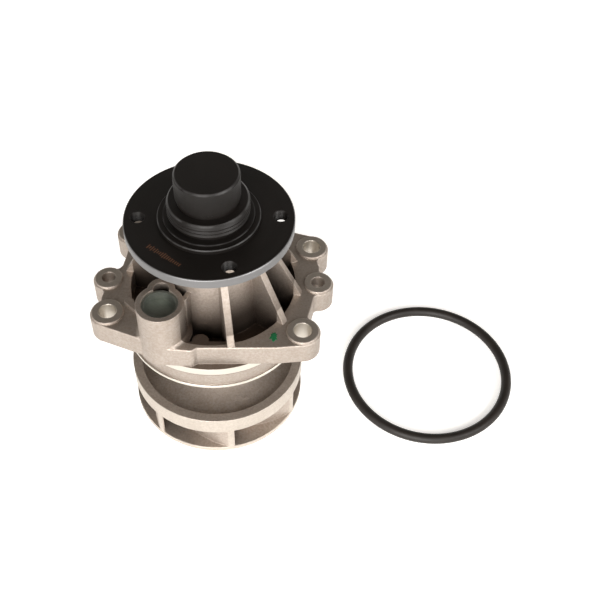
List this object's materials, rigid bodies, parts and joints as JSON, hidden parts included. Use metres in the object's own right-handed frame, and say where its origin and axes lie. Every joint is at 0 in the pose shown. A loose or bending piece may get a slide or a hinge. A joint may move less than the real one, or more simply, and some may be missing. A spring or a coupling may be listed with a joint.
{
  "type": "water pump",
  "caption": "Engine coolant pump with an eared housing, a pulley flange with fan-clutch nose, a vaned impeller and a loose sealing ring beside it.",
  "frame": {"origin": "on the shaft axis, in the plane of the mounting face that meets the engine block", "axes": "+Z along the shaft towards the fan-clutch nose; +X across the long side of the stud pattern, towards the pair of ears that the picture shows on the right; the part stands on the impeller at z = -52.6 mm"},
  "size_m": [0.1617, 0.0794, 0.1137],
  "materials": {
    "cast_aluminium": "sand cast, machined on the faces and bores",
    "plated_steel": "drawn steel cup, zinc plated",
    "bearing_steel": "ground",
    "ground_shaft": "ground and hardened",
    "cage_plastic": "moulded",
    "seal_rubber": "moulded",
    "stainless_sheet": "drawn sheet",
    "spring_wire": "drawn wire",
    "seal_carbon": "lapped carbon graphite",
    "seal_ceramic": "lapped alumina",
    "black_oxide_steel": "machined steel, black oxide; rim left bright",
    "cast_impeller": "cast, rim turned",
    "o_ring_rubber": "moulded"
  },
  "bodies": {
    "housing": {"housing": "cast_aluminium", "chamber_plug": "plated_steel", "bearing_outer_race": "bearing_steel", "bearing_seal_front": "seal_rubber", "bearing_seal_rear": "seal_rubber", "seal_case": "stainless_sheet", "seal_bellows": "seal_rubber", "seal_spring": "spring_wire", "seal_band": "stainless_sheet", "seal_carbon_ring": "seal_carbon"},
    "rotor": {"hub_flange": "black_oxide_steel", "shaft": "ground_shaft", "dust_shield": "plated_steel", "water_slinger": "seal_rubber", "impeller": "cast_impeller", "seal_seat_ring": "seal_ceramic", "seal_seat_cup": "seal_rubber"},
    "ball_row": {"bearing_balls": "bearing_steel", "ball_cage": "cage_plastic"},
    "roller_row": {"bearing_rollers": "bearing_steel", "roller_cage": "cage_plastic"},
    "o_ring": {"o_ring": "o_ring_rubber"}
  },
  "joints": [
    {"name": "rotor_spin", "type": "hinge", "parent": "housing", "child": "rotor", "pos_m": [0, 0, 0], "axis": [0, 0, 1], "continuous": true},
    {"name": "ball_row_spin", "type": "hinge", "parent": "housing", "child": "ball_row", "pos_m": [0, 0, 0.0265], "axis": [0, 0, 1], "continuous": true},
    {"name": "roller_row_spin", "type": "hinge", "parent": "housing", "child": "roller_row", "pos_m": [0, 0, 0.0115], "axis": [0, 0, 1], "continuous": true},
    {"name": "o_ring_lift", "type": "slide", "parent": "housing", "child": "o_ring", "axis": [0, 0, 1], "range_m": [0, 0.12]}
  ],
  "couplings": [
    {"joint": "ball_row_spin", "follows": "rotor_spin", "ratio": 0.3653},
    {"joint": "roller_row_spin", "follows": "rotor_spin", "ratio": 0.3908}
  ]
}
